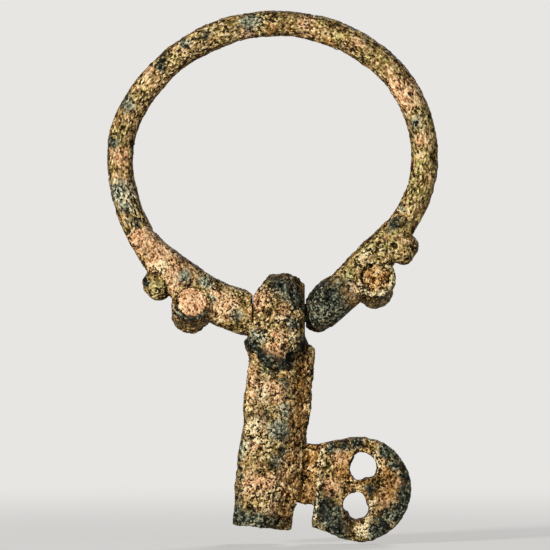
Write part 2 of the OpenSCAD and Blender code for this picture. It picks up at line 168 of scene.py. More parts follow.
class RingKeyColours(bpy.types.PropertyGroup):
    """Colours of the crust, from its hollows up to its raised grains."""

    # The deep colours fall partly in the pits, where the relief lays painted shade
    tan_deep: colour("Tan, deep", "Hollows of the earthy crust", (0.010, 0.006, 0.001))
    tan_body: colour("Tan, body", "Body of the earthy crust", (0.268, 0.177, 0.042))
    tan_light: colour("Tan, light", "Grains of the earthy crust", (0.890, 0.660, 0.275))
    flesh_deep: colour("Flesh, deep", "Hollows of the pink crust", (0.035, 0.024, 0.016))
    flesh_body: colour("Flesh, body", "Body of the pink crust", (0.700, 0.330, 0.135))
    flesh_light: colour("Flesh, light", "Grains of the pink crust", (0.980, 0.650, 0.370))
    # The black-green tint, which is also laid as painted shade under the knuckle's chin, round the right fill and
    # along the bit's right and lower rim
    soot_deep: colour("Soot, deep", "Hollows of the black-green crust", (0.004, 0.005, 0.004))
    soot_body: colour("Soot, body", "Body of the black-green crust", (0.030, 0.039, 0.026))
    soot_light: colour("Soot, light", "Grains of the black-green crust", (0.265, 0.272, 0.175))
    slate_deep: colour("Slate, deep", "Hollows of the grey-green crust", (0.010, 0.011, 0.010))
    slate_body: colour("Slate, body", "Body of the grey-green crust", (0.124, 0.132, 0.085))
    slate_light: colour("Slate, light", "Grains of the grey-green crust", (0.540, 0.525, 0.350))
    olive_deep: colour("Olive, deep", "Hollows of the olive crust", (0.018, 0.013, 0.002))
    olive_body: colour("Olive, body", "Body of the olive crust", (0.226, 0.184, 0.036))
    olive_light: colour("Olive, light", "Grains of the olive crust", (0.725, 0.620, 0.215))
    rust_deep: colour("Rust, deep", "Hollows of the rust-brown crust", (0.038, 0.015, 0.003))
    rust_body: colour("Rust, body", "Body of the rust-brown crust", (0.350, 0.162, 0.036))
    rust_light: colour("Rust, light", "Grains of the rust-brown crust", (0.800, 0.445, 0.150))
    # The palest grains, also laid as painted highlight on the right collet's rim and along the bit's ridge
    cream_and_highlight: colour("Cream", "The palest raised grains", (0.960, 0.790, 0.460))


class RingKeyStage(bpy.types.PropertyGroup):
    """The floor, the lamps and the camera."""

    floor_colour: colour("Floor", "Colour of the floor and the surroundings", (0.80, 0.79, 0.77))
    floor_gap: length("Floor gap", "Gap between the key and the floor", 0.2e-3)
    floor_radius: length("Floor radius", "Radius of the floor", 0.30)
    view_width: length("View width", "Width of the picture at the key", 41.525e-3)
    view_x: length(
        "View centre, right", "Middle of the picture, to the right of the hoop", 0.189e-3
    )
    view_drop: length(
        "View centre, down", "Middle of the picture, below the hoop's middle", 8.98e-3
    )
    view_distance: length("View distance", "Distance of the camera", 0.40)
    key_power: strength("Key lamp", "Power of the main lamp", 2.25)
    back_power: strength("Back lamp", "Power of the lamp behind", 1.2)
    fill_power: strength("Fill lamp", "Power of the fill lamp", 0.35)
    ambient: strength("Ambient", "Strength of the light all round", 0.05)


# Bench tools


def pick(obj):
    """Makes obj the only selected object and the active one."""
    if bpy.context.object is not None and bpy.context.object.mode != "OBJECT":
        bpy.ops.object.mode_set(mode="OBJECT")
    bpy.ops.object.select_all(action="DESELECT")
    obj.select_set(True)
    bpy.context.view_layer.objects.active = obj


def apply_modifier(obj, kind, **settings):
    """Adds a modifier, sets it and applies it."""
    pick(obj)
    bpy.ops.object.modifier_add(type=kind)
    step = obj.modifiers[-1]
    for key, value in settings.items():
        setattr(step, key, value)
    bpy.ops.object.modifier_apply(modifier=step.name)


def cast_from(node):
    """A merged copy of a CAD solid at bench scale, the rough casting of a piece."""
    mesh = frame["nodes"][node].data.copy()
    mesh.materials.clear()
    obj = bpy.data.objects.new(node + "_worn", mesh)
    bpy.context.scene.collection.objects.link(obj)
    pick(obj)
    obj.scale = (1 / MM,) * 3
    bpy.ops.object.transform_apply(location=False, rotation=False, scale=True)
    bpy.ops.object.mode_set(mode="EDIT")
    bpy.ops.mesh.select_all(action="SELECT")
    bpy.ops.mesh.remove_doubles(threshold=WELD)
    bpy.ops.object.mode_set(mode="OBJECT")
    return obj


def box_of(node):
    """Middle and size of a CAD node's box, in bench millimetres."""
    low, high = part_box(node)
    return (low + high) / 2 / MM, (high - low) / MM


def mount_place(mount):
    """Where a mount's axis stands, as x and z in bench millimetres."""
    place = next(m for m in frame["record"]["mounts"] if m["name"] == mount)["pos_m"]
    return place[0] / MM, place[2] / MM


def points(obj):
    """All the mesh points of obj as an array."""
    flat = np.empty(len(obj.data.vertices) * 3)
    obj.data.vertices.foreach_get("co", flat)
    return flat.reshape(-1, 3)


def normals(obj):
    """The normals at the mesh points of obj as an array."""
    flat = np.empty(len(obj.data.vertices) * 3)
    obj.data.vertices.foreach_get("normal", flat)
    return flat.reshape(-1, 3)


def mark(obj, name, weights):
    """Keeps an array of weights, one for each point, as a vertex group."""
    group = obj.vertex_groups.new(name=name)
    levels = np.round(np.clip(weights, 0.0, 1.0) * GROUP_LEVELS).astype(int)
    for level in np.unique(levels):
        group.add(np.flatnonzero(levels == level).tolist(), level / GROUP_LEVELS, "REPLACE")


def keep(obj, name, values):
    """Keeps an array of values, one for each point, where the crust can read it."""
    attribute = obj.data.attributes.new(name, "FLOAT", "POINT")
    attribute.data.foreach_set("value", values.astype(np.float32))


def smooth_step(values):
    """0 up to 0, 1 from 1 on, and smooth between them."""
    values = np.clip(values, 0.0, 1.0)
    return values * values * (3 - 2 * values)


def within(distance, reach, fade):
    """1 inside a reach, fading to 0 at its end."""
    return smooth_step((reach - distance) / fade)


def beyond(distance, start, fade):
    """0 up to a start, rising to 1 past it."""
    return smooth_step((distance - start) / fade)


def press(obj, start, end, radius, height, direction="NORMAL"):
    """Raises a ridge between two places, or presses a furrow where the height is negative."""
    start, way = np.array(start), np.array(end) - np.array(start)
    apart = points(obj) - start
    share = np.clip(apart @ way / max(way @ way, WELD), 0.0, 1.0)
    far = np.linalg.norm(apart - share[:, None] * way, axis=1)
    mark(obj, "press", smooth_step(1 - far / radius))
    apply_modifier(
        obj, "DISPLACE", direction=direction, strength=height, mid_level=0.0, vertex_group="press"
    )
    obj.vertex_groups.remove(obj.vertex_groups["press"])


def move_points(obj, chosen, shift):
    """Moves the chosen points of a casting, given as a yes or no for each."""
    pick(obj)
    bpy.ops.object.mode_set(mode="EDIT")
    bpy.ops.mesh.select_mode(type="VERT")
    bpy.ops.mesh.select_all(action="DESELECT")
    bpy.ops.object.mode_set(mode="OBJECT")
    obj.data.vertices.foreach_set("select", chosen)
    bpy.ops.object.mode_set(mode="EDIT")
    bpy.ops.transform.translate(value=shift)
    bpy.ops.object.mode_set(mode="OBJECT")


def slice_off(obj, place, direction):
    """Cuts a casting flat at a place and drops what lies beyond it in that direction."""
    pick(obj)
    bpy.ops.object.mode_set(mode="EDIT")
    bpy.ops.mesh.select_all(action="SELECT")
    bpy.ops.mesh.bisect(plane_co=place, plane_no=direction, use_fill=True, clear_outer=True)
    bpy.ops.object.mode_set(mode="OBJECT")


def root_in(arm, fittings):
    """Joins copies of the fittings to an arm, so that its skin runs up their roots in fillets."""
    roots = [cast_from(node) for node in fittings]
    pick(arm)
    for root in roots:
        root.select_set(True)
    bpy.ops.object.join()


def close_fits(obj):
    """1 on the hinge's cheeks, in its bores and at the bar's ends, and 0 well away from them."""
    place = points(obj)
    from_hinge = place - np.array(HINGE)
    off_axis = np.linalg.norm(from_hinge[:, 1:], axis=1)
    off_cheek = np.abs(np.abs(from_hinge[:, 0]) - CHEEK)
    off_seam = np.linalg.norm(place[:, None] - SEAMS[None], axis=2).min(axis=1)
    cheek = within(off_axis, *CHEEK_ROUND) * within(off_cheek, *CHEEK_DEEP)
    bore = within(off_axis, *BORE_ROUND)
    return np.maximum(np.maximum(cheek, bore), SEAM_HOLD * within(off_seam, *SEAM_ROUND))


def wear_down(obj, weights, step, wear):
    """Rounds the edges of a skin of that step off where the weights say so."""
    mark(obj, "worn", weights)
    passes = max(1, round(SMOOTHING * (wear / (step / MM)) ** 2))
    apply_modifier(obj, "SMOOTH", factor=0.5, iterations=passes, vertex_group="worn")
    obj.vertex_groups.remove(obj.vertex_groups["worn"])


def skin_over(obj, step, wear):
    """Gives a casting an even skin of small faces and rounds its edges off."""
    apply_modifier(obj, "REMESH", mode="VOXEL", voxel_size=step / MM, use_smooth_shade=True)
    wear_down(obj, 1.0 - HELD_BACK * close_fits(obj), step, wear)


def fatten(obj, amount):
    """Moves the whole skin outwards."""
    apply_modifier(obj, "DISPLACE", strength=amount, mid_level=0.0)


def crust_texture(name, pitch, stops=(), **settings):
    """A cloudy relief of that pitch, made once and used on every piece."""
    texture = bpy.data.textures.get(name)
    if texture is None:
        texture = bpy.data.textures.new(name, type="CLOUDS")
        texture.noise_scale = pitch / MM
        for key, value in settings.items():
            setattr(texture, key, value)
        if stops:
            texture.use_color_ramp = True
            for element, (position, level) in zip(texture.color_ramp.elements, stops):
                element.position = position
                element.color = (level, level, level, 1.0)
    return texture


def corrode(obj, sizes, swell=1.0, lumps=1.0, grain=1.0, pits=1.0):
    """Swells, lumps, grains and pits the skin, and keeps its flanks and relief for the colours."""
    held = close_fits(obj)
    # The flanks, which the crust darkens as painted shade and tints olive and rust
    keep(obj, "side", within(np.abs(normals(obj)[:, 1]), *FLANK))
    mark(obj, "free", 1.0 - held)
    mark(obj, "held", held)

    def wear_in(texture, height, level):
        for group, share, middle in (
            ("free", 1.0, level),
            ("held", HELD_SHARE, max(level, HELD_LEVEL)),
        ):
            apply_modifier(
                obj, "DISPLACE", texture=texture, strength=share * height / MM,
                mid_level=middle, vertex_group=group,
            )

    swells = crust_texture("swells", sizes.swell_pitch, noise_depth=1)
    wear_in(swells, swell * sizes.swell_height, SWELL_LEVEL)
    lumpy = crust_texture("lumps", sizes.lump_pitch, noise_depth=2)
    wear_in(lumpy, lumps * sizes.lump_height, LUMP_LEVEL)
    before, out = points(obj), normals(obj)
    eaten = crust_texture("pits", sizes.pit_pitch, stops=PIT_STOPS, noise_depth=2)
    wear_in(eaten, pits * sizes.pit_depth, PIT_LEVEL)
    grains = crust_texture("grains", sizes.grain_pitch, noise_depth=2)
    wear_in(grains, grain * sizes.grain_height, GRAIN_LEVEL)
    # The relief, which the crust paints darker in the pits and lighter on raised grains, as painted shade and
    # painted highlight
    risen = ((points(obj) - before) * out).sum(axis=1)
    keep(obj, "relief", risen / (sizes.grain_height / MM))


def draw_out(obj, stretch):
    """Keeps a place for each point of the bent bar that runs along it, to draw its grain out."""
    x, y, z = points(obj).T
    out = np.hypot(x, z)
    lie = np.stack((np.arctan2(x, z) * out.mean() / stretch, y, out), axis=1)
    attribute = obj.data.attributes.new("lie", "FLOAT_VECTOR", "POINT")
    attribute.data.foreach_set("vector", lie.astype(np.float32).ravel())


def deliver(obj, node, material):
    """Brings a finished piece back to metres and puts it in the frame for its node."""
    pick(obj)
    obj.vertex_groups.clear()
    obj.scale = (MM,) * 3
    bpy.ops.object.transform_apply(location=True, rotation=True, scale=True)
    bpy.ops.object.shade_smooth()
    obj.data.materials.clear()
    obj.data.materials.append(material)
    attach(obj, BODY_OF[node])
    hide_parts(node)


# Finishes

# Sockets of a Mix node that is set to colours
MIX_FACTOR, MIX_UNDER, MIX_OVER, MIX_RESULT = 0, 6, 7, 2

# Rays that show the surroundings as they are painted
SEEN_RAYS = ("Is Camera Ray", "Is Glossy Ray", "Is Transmission Ray")


class Tone:
    """A shader socket that can be reckoned with like a number."""

    def __init__(self, finish, socket):
        self.finish = finish
        self.socket = socket

    def maths(self, operation, *values):
        """A Math node on tones and numbers."""
        return self.finish.add(
            "ShaderNodeMath", {"operation": operation}, dict(enumerate(values))
        )

    def __add__(self, other):
        return self.maths("ADD", self, other)

    def __radd__(self, other):
        return self.maths("ADD", other, self)

    def __sub__(self, other):
        return self.maths("SUBTRACT", self, other)

    def __rsub__(self, other):
        return self.maths("SUBTRACT", other, self)

    def __mul__(self, other):
        return self.maths("MULTIPLY", self, other)

    def __rmul__(self, other):
        return self.maths("MULTIPLY", other, self)

    def __abs__(self):
        return self.maths("ABSOLUTE", self)

    def highest(self, other):
        """The higher of two tones at each place."""
        return self.maths("MAXIMUM", self, other)

    def band(self, start, end):
        """0 below start, 1 above end, and smooth between them."""
        return self.finish.add(
            "ShaderNodeMapRange",
            {"interpolation_type": "SMOOTHSTEP"},
            {"Value": self, "From Min": start, "From Max": end},
        )

    def blend(self, under, over):
        """The colour under where this tone is 0, and over where it is 1."""
        return self.finish.add(
            "ShaderNodeMix",
            {"data_type": "RGBA"},
            {MIX_FACTOR: self, MIX_UNDER: under, MIX_OVER: over},
            out=MIX_RESULT,
        )

    def distance_to(self, place):
        """How far this place is from a fixed one."""
        return self.finish.vector("DISTANCE", {0: self, 1: place}, out="Value")


class Finish:
    """A material or a world that is being mixed, with one method that adds any node."""

    def __init__(self, owner):
        self.owner = owner
        owner.use_nodes = True
        self.tree = owner.node_tree
        self.tree.nodes.clear()

    def add(self, kind, settings=None, sockets=None, out=0):
        """Adds a node with its settings and the values or links of its sockets."""
        node = self.tree.nodes.new(kind)
        for key, value in (settings or {}).items():
            if key == "stops":
                ramp = node.color_ramp.elements
                while len(ramp) < len(value):
                    ramp.new(1.0)
                for element, (position, rgb) in zip(ramp, value):
                    element.position = position
                    element.color = (*rgb, 1.0)
            else:
                setattr(node, key, value)
        for key, value in (sockets or {}).items():
            if isinstance(value, Tone):
                self.tree.links.new(value.socket, node.inputs[key])
            else:
                node.inputs[key].default_value = value
        return Tone(self, node.outputs[out]) if node.outputs else None

    def vector(self, operation, sockets, out="Vector"):
        """Vector maths on places."""
        return self.add("ShaderNodeVectorMath", {"operation": operation}, sockets, out)

    def attribute(self, name, out="Fac"):
        """What the piece keeps at its points under that name."""
        return self.add("ShaderNodeAttribute", {"attribute_name": name}, out=out)

    def own_place(self):
        """The place on the piece, in metres of the key's own frame."""
        return self.add("ShaderNodeTexCoord", out="Object")

    def bench_place(self):
        """The place on the piece, in millimetres of the key's own frame."""
        return self.vector("SCALE", {0: self.own_place(), "Scale": 1 / MM})

    def both_faces(self, place):
        """The place with its depth folded over, so that front and back are treated alike."""
        x, y, z = (
            self.add("ShaderNodeSeparateXYZ", None, {0: place}, out=part) for part in range(3)
        )
        return self.add("ShaderNodeCombineXYZ", None, {0: x, 1: 0.0 - abs(y), 2: z})

    def noise(self, place, pitch, detail, roughness, shift=0.0):
        """Cloudy noise of that pitch in millimetres."""
        return self.add(
            "ShaderNodeTexNoise",
            None,
            {
                "Vector": self.vector("ADD", {0: place, 1: (shift,) * 3}),
                "Scale": 1 / pitch,
                "Detail": detail,
                "Roughness": roughness,
            },
        )

    def grains(self, place, pitch):
        """Three tones that change at random from one grain of that pitch to the next."""
        cells = self.add(
            "ShaderNodeTexVoronoi", None, {"Vector": place, "Scale": 1 / pitch}, out="Color"
        )
        return tuple(
            self.add("ShaderNodeSeparateColor", None, {0: cells}, out=part) for part in range(3)
        )

    def stir(self, place, pitch, amount):
        """The place pushed about by noise, so that cells lose their even shape."""
        push = self.add(
            "ShaderNodeTexNoise", None, {"Vector": place, "Scale": 1 / pitch}, out="Color"
        )
        even = self.vector("SUBTRACT", {0: push, 1: (0.5, 0.5, 0.5)})
        return self.vector("ADD", {0: place, 1: self.vector("SCALE", {0: even, "Scale": amount})})

    def seen(self):
        """1 for light that the camera, a mirror or a glass shows, and 0 for light on the key."""
        straight, mirrored, through = (
            self.add("ShaderNodeLightPath", out=ray) for ray in SEEN_RAYS
        )
        return straight.highest(mirrored).highest(through)


# Patches of the crust are (x, y, z, radius) in bench millimetres, laid in this order of tints
TINTS = ("olive", "flesh", "rust", "slate", "soot")

# How much lighter a tint is than the tan, how far it takes the flanks, and how much lies about
LIFTS = {"flesh": 0.10, "slate": 0.05, "soot": -0.06}
SIDES = {"olive": 0.5, "rust": 0.45}
SCATTER = {"olive": 0.45, "flesh": 0.6, "rust": 0.5, "slate": 0.3, "soot": 0.2}

# Noises of the crust as pitch, detail and roughness
MOTTLE = (1.3, 3.0, 0.6)
GRIT = (0.40, 3.0, 0.7)
FINE = (0.15, 0.6, 0.6)
SPECKLED = (1.6, 2.0, 0.6)
CLOUDY = (1.1, 3.0, 0.7)
SPECKLED_SHIFT = 53.0
CLOUDY_SHIFT = 17.0

# Pitch of the specks, and pitch and amount of the pushes on specks and patches
SPECK_PITCH = 0.16
SPECK_STIR = (0.3, 0.2)
PATCH_STIR = (0.8, 1.0)

# Makings of the tone, which picks a place between the hollows and the raised grains
TONE_LEVEL = 0.56
GRAIN_OF_GRIT, GRAIN_OF_FINE = 0.6, 1.5
TONE_OF_GRAIN, TONE_OF_SPECK, TONE_OF_MOTTLE = 0.9, 1.2, 0.7
# The tone takes painted shade and highlight from the relief, and painted shade on the flanks
RELIEF_PAINTED_SHADE_AND_HIGHLIGHT, FLANK_PAINTED_SHADE = 0.4, 0.30
SPECK_FAINT, SPECK_STRONG, SPECK_BAND = 0.40, 0.6, (0.36, 0.64)
DEEP_AT, BODY_AT, LIGHT_AT = 0.14, 0.50, 0.88

# Edges of what lies about and of the patches, these in shares of their radius
SCATTER_BREAK = 0.35
SCATTER_BAND = (0.52, 0.62)
RAGGED_MOTTLE, RAGGED_GRIT, RAGGED_FINE = 1.4, 1.6, 1.6
PATCH_EDGE = (-0.5, 0.6)
CREAM_AND_HIGHLIGHT_EDGE = (-0.3, 0.5)

# Tones at which grains turn cream, anywhere and in cream patches, some of which are painted highlight, and how far
# soot and painted shade stop it
CREAM_GRAINS = (0.86, 1.20)
CREAM_AND_HIGHLIGHT_PATCH_GRAINS = (0.10, 0.60)
CREAM_OFF_SOOT_AND_SHADE = 0.7

# How matt the crust is, its sheen, and the height of its bumps in millimetres
MATT, MATT_OF_SOOT_AND_SHADE, MATT_OF_GRIT = 0.62, 0.15, 0.2
SHEEN = 0.06
BUMP = 0.13

# The right collet's face, which looks up a little
FACE_TILT = math.radians(18.0)
RIGHT_FACE = (7.74, -1.57, -9.26)


def run(start, end, radius, count):
    """Patches in a row from one place to another."""
    start, end = np.array(start), np.array(end)
    return tuple(
        (*(start + (end - start) * step / (count - 1)), radius) for step in range(count)
    )


def arc(middle, reach, start, end, radius, count):
    """Patches in a row round the middle of a collet's face, from one angle to another."""
    x, y, z = middle
    up, out = math.cos(FACE_TILT), math.sin(FACE_TILT)
    return tuple(
        (
            x + reach * math.cos(turn),
            y + reach * math.sin(turn) * out,
            z + reach * math.sin(turn) * up,
            radius,
        )
        for turn in np.radians(np.linspace(start, end, count))
    )


# Painted shadow in the groove round the right fill
RIGHT_GAP_SHADOW = arc(RIGHT_FACE, 1.05, 100, 420, 0.2, 14)


def crust(name, colours, patches, shade=0.0, scatter=1.0, drawn=False):
    """The grainy crust of old bronze, with patches of other tints where they lie.

    Shade darkens it, scatter says how much of each tint lies about, and a drawn crust follows
    the lie that the bent bar keeps.
    """
    finish = Finish(bpy.data.materials.new(name))
    place = finish.bench_place()
    lie = finish.attribute("lie", out="Vector") if drawn else place
    relief, side = finish.attribute("relief"), finish.attribute("side")
    mottle = finish.noise(lie, *MOTTLE) - 0.5
    grit = finish.noise(lie, *GRIT) - 0.5
    fine = finish.noise(lie, *FINE) - 0.5
    specks = finish.grains(finish.stir(lie, *SPECK_STIR), SPECK_PITCH)
    speckled = finish.noise(lie, *SPECKLED, shift=SPECKLED_SHIFT).band(*SPECK_BAND)

    grain = grit * GRAIN_OF_GRIT + fine * GRAIN_OF_FINE
    speck = (specks[0] - 0.5) * (SPECK_FAINT + speckled * SPECK_STRONG)
    tone = TONE_LEVEL - shade + grain * TONE_OF_GRAIN + speck * TONE_OF_SPECK
    # The relief lays painted shade in the pits and painted highlight on raised grains, and the flanks lay painted
    # shade
    tone = tone + mottle * TONE_OF_MOTTLE + relief * RELIEF_PAINTED_SHADE_AND_HIGHLIGHT - side * FLANK_PAINTED_SHADE
    ragged = mottle * RAGGED_MOTTLE + grit * RAGGED_GRIT + fine * RAGGED_FINE
    drift = finish.both_faces(finish.stir(place, *PATCH_STIR))
    cream_and_highlight = (*colours.cream_and_highlight, 1.0)

    def ramp(tint):
        lift = LIFTS.get(tint, 0.0)
        stops = (
            (DEEP_AT - lift, getattr(colours, tint + "_deep")),
            (BODY_AT - lift, getattr(colours, tint + "_body")),
            (LIGHT_AT - lift, getattr(colours, tint + "_light")),
        )
        return finish.add("ShaderNodeValToRGB", {"stops": stops}, {0: tone})

    def patch(spot, edge):
        *middle, radius = spot
        inside = radius - drift.distance_to(middle) + ragged * radius
        return inside.band(edge[0] * radius, edge[1] * radius)

    base = ramp("tan")
    masks = {}
    for number, tint in enumerate(TINTS):
        cloud = finish.noise(lie, *CLOUDY, shift=CLOUDY_SHIFT * (number + 1))
        broken = cloud + (specks[1 + number % 2] - 0.5) * SCATTER_BREAK
        mask = broken.band(*SCATTER_BAND) * (SCATTER[tint] * scatter)
        if tint in SIDES:
            mask = mask.highest(side * SIDES[tint])
        for spot in patches.get(tint, ()):
            mask = mask.highest(patch(spot, PATCH_EDGE))
        base = mask.blend(base, ramp(tint))
        masks[tint] = mask
    # The soot mask, which also holds the painted shade
    soot = masks["soot"]
    raised = tone.band(*CREAM_GRAINS) * (1 - soot * CREAM_OFF_SOOT_AND_SHADE)
    base = raised.blend(base, cream_and_highlight)
    # Cream patches, some of them painted highlight
    pale_and_highlight = [patch(spot, CREAM_AND_HIGHLIGHT_EDGE) for spot in patches.get("cream_and_highlight", ())]
    if pale_and_highlight:
        mask = pale_and_highlight[0]
        for other in pale_and_highlight[1:]:
            mask = mask.highest(other)
        base = (mask * tone.band(*CREAM_AND_HIGHLIGHT_PATCH_GRAINS)).blend(base, cream_and_highlight)

    bumped = finish.add(
        "ShaderNodeBump", None, {"Strength": 1.0, "Distance": BUMP * MM, "Height": grain}
    )
    shader = finish.add(
        "ShaderNodeBsdfPrincipled",
        None,
        {
            "Base Color": base,
            "Roughness": MATT - soot * MATT_OF_SOOT_AND_SHADE - grit * MATT_OF_GRIT,
            "Normal": bumped,
            "Specular IOR Level": SHEEN,
        },
    )
    finish.add("ShaderNodeOutputMaterial", None, {"Surface": shader})
    return finish.owner


# Operators

# The bar's ends: their depth and breadth, how far they lap into the shoulders, and the drawn grain
END_DEPTH, END_BREADTH, END_LAP = 0.2, 1.6, 0.2
DRAWN = 1.35

# The lugs' inner faces: their depth, and how far they grow towards the knuckle
LUG_DEPTH, LUG_GROWTH = 0.02, 0.1

# Place and direction of the flats cut on the left lug and on the shank
LUG_CUT = ((-2.0, 0.0, -10.06), (0.62, 0.0, 0.78))
SHANK_CUT = ((2.9, 0.0, -14.2), (0.7, 0.0, 0.7))

# Faces round a bead and from pole to pole, and its worn flat as a share of its width
BEAD_SEGMENTS, BEAD_RINGS = 40, 24
BEAD_FLAT = 0.45

# Turn in degrees and height of each dent or bulge in the walls of the bit's holes
HOLE_DENTS = {
    "bit_hole_upper": ((150, 0.15), (100, -0.24), (-75, 0.22)),
    "bit_hole_lower": ((20, 0.2), (215, 0.22), (95, -0.1)),
}
HOLE_RADIUS = 1.0
HOLE_DENT_RADIUS = 0.75
BIT_FACE = 1.2

# Start and fade of the bit's worn rim, away from the holes and from the shank
OFF_HOLES = (1.1, 0.5)
OFF_SHANK = (4.0, 0.8)

# The floor's corners, and its glow, which is weaker near the key so that a shadow shows there
FLOOR_CORNERS = 96
NEAR_GLOW = 0.5
GLOW_BAND = (0.02, 0.12)

# Lamps as name, place, size and the setting that holds their power
LAMPS = (
    ("key_lamp", (-0.30, -0.335, 0.07), 0.07, "key_power"),
    ("back_lamp", (0.16, 0.36, 0.26), 0.20, "back_power"),
    ("fill_lamp", (0.30, -0.34, 0.04), 0.30, "fill_power"),
)

# The camera's sensor in millimetres, and the nearest that it sees in metres
SENSOR = 36.0
NEAREST = 0.01


def chosen(context):
    """The sizes and the colours that are set in the panel."""
    return context.scene.ring_key_sizes, context.scene.ring_key_colours


class RINGKEY_OT_hoop(bpy.types.Operator):
    """Makes the bent bar of the hoop"""

    bl_idname = "ring_key.hoop"
    bl_label = "Hoop"

    def execute(self, context):
        sizes, colours = chosen(context)
        bar = cast_from("hoop_bar")
        for seam in SEAMS:
            # The way in which the bar runs on at its end
            down = np.array((-seam[2], 0.0, seam[0])) * -np.sign(seam[0]) / np.linalg.norm(seam)
            apart = points(bar) - seam
            end = (apart @ down > -END_DEPTH) & (np.linalg.norm(apart, axis=1) < END_BREADTH)
            if not end.any():
                raise RuntimeError("The hoop's bar has no end at its seam")
            move_points(bar, end, tuple(END_LAP * down))
        skin_over(bar, sizes.skin_step, wear=0.1)
        corrode(bar, sizes, lumps=0.7, grain=0.55, pits=0.6)
        draw_out(bar, DRAWN)
        patches = {
            "flesh": (
                (9.9, -0.8, 4.8, 1.2), (11.2, -0.7, 1.2, 0.5), (-1.8, -0.8, 9.3, 0.6),
                (-9.4, -0.7, 6.6, 0.6), (-11.5, -0.9, -0.1, 0.7), (-11.1, -0.9, -1.9, 0.5),
                (2.6, -0.8, 10.0, 0.6), (6.4, -0.8, 8.4, 0.5),
            ),
            "rust": (
                *run((-10.3, -0.4, 2.4), (-4.6, -0.4, 8.7), 0.5, 7),
                *run((0.0, -0.6, 9.4), (4.2, -0.6, 8.5), 0.4, 4),
            ),
            "slate": (
                (-11.5, -0.9, -2.7, 1.0), (-11.0, -0.9, -3.8, 0.7), (-1.7, -0.9, 10.1, 0.8),
                (-10.9, -0.8, 3.8, 0.6), (-6.6, -0.8, 8.4, 0.5),
            ),
            "olive": (
                *run((11.6, -0.7, 2.8), (10.8, -0.7, -3.2), 0.9, 6), (-10.2, -0.5, 1.8, 0.6),
                *run((3.6, -0.8, 10.2), (8.4, -0.8, 7.2), 0.5, 4),
            ),
            "soot": (
                (-8.4, -0.8, 6.9, 0.5), (-12.0, -0.6, 1.0, 0.5), (-10.4, -0.8, -5.0, 0.5),
                (10.8, -0.8, 2.5, 0.5), (9.6, -0.7, -4.0, 0.5), (-5.1, -0.8, 9.0, 0.4),
            ),
        }
        deliver(bar, "hoop_bar", crust("hoop_crust", colours, patches, shade=0.03, drawn=True))
        return {"FINISHED"}


class RINGKEY_OT_shoulders(bpy.types.Operator):
    """Makes the two shoulders with their hinge lugs"""

    bl_idname = "ring_key.shoulders"
    bl_label = "Shoulders"

    def execute(self, context):
        sizes, colours = chosen(context)
        patches = {
            "flesh": (
                *run((-10.0, -1.1, -6.2), (-7.2, -1.4, -9.0), 1.3, 3), (-4.6, -1.3, -10.8, 0.9),
                (-7.0, -1.4, -10.4, 0.9), (6.0, -1.3, -10.2, 0.6), (-3.4, -1.3, -11.5, 0.8),
            ),
            "slate": (
                (-6.6, -1.2, -9.0, 0.6), (-5.0, -1.2, -9.4, 0.6), (-4.6, -1.4, -10.9, 0.4),
                (3.2, -0.8, -9.8, 0.7), (-2.7, -1.3, -12.0, 0.5),
            ),
            "cream_and_highlight": ((-8.4, -1.4, -8.4, 0.6), (7.4, -1.3, -6.6, 0.4), (6.9, -1.3, -7.2, 0.35)),
            "olive": ((7.7, -1.0, -7.5, 3.2), (6.0, -1.0, -9.0, 1.6)),
            "soot": ((3.9, -1.0, -11.3, 2.4), (9.1, -1.2, -5.0, 0.6)),
            "rust": ((5.9, -0.6, -10.9, 0.9), (-4.7, -0.6, -11.6, 0.5)),
        }
        material = crust("shoulder_crust", colours, patches)
        for node, inwards, fittings in (
            ("left_shoulder", 1.0, ("left_bead", "left_collet")),
            ("right_shoulder", -1.0, ("right_bead", "right_pellet", "right_collet")),
        ):
            arm = cast_from(node)
            reach = points(arm)[:, 0] * inwards
            move_points(arm, reach > reach.max() - LUG_DEPTH, (LUG_GROWTH * inwards, 0.0, 0.0))
            if node == "left_shoulder":
                slice_off(arm, *LUG_CUT)
            root_in(arm, fittings)
            skin_over(arm, sizes.skin_step, wear=0.16)
            corrode(arm, sizes, grain=0.75)
            deliver(arm, node, material)
        return {"FINISHED"}


class RINGKEY_OT_beads(bpy.types.Operator):
    """Makes the beads and the pellet on the outer edges of the shoulders"""

    bl_idname = "ring_key.beads"
    bl_label = "Beads"

    def execute(self, context):
        sizes, colours = chosen(context)
        patches = {
            "soot": ((-9.5, -0.8, -9.5, 0.5), (9.1, -1.2, -5.0, 0.6)),
            "olive": ((-9.1, -0.8, -9.9, 0.8),),
        }
        material = crust("bead_crust", colours, patches)
        for node in ("left_bead", "right_bead", "right_pellet"):
            middle, size = box_of(node)
            bpy.ops.object.select_all(action="DESELECT")
            bpy.ops.mesh.primitive_uv_sphere_add(
                segments=BEAD_SEGMENTS, ring_count=BEAD_RINGS,
                radius=size.x / 2, location=middle,
            )
            bead = bpy.context.object
            bead.name = node + "_worn"
            bpy.ops.object.transform_apply(location=True, rotation=False, scale=False)
            outward = Vector((middle.x, 0.0, middle.z)).normalized()
            slice_off(bead, middle + outward * size.x * BEAD_FLAT, outward)
            skin_over(bead, sizes.fine_step, wear=0.16)
            fatten(bead, amount=0.08)
            corrode(bead, sizes)
            deliver(bead, node, material)
        return {"FINISHED"}


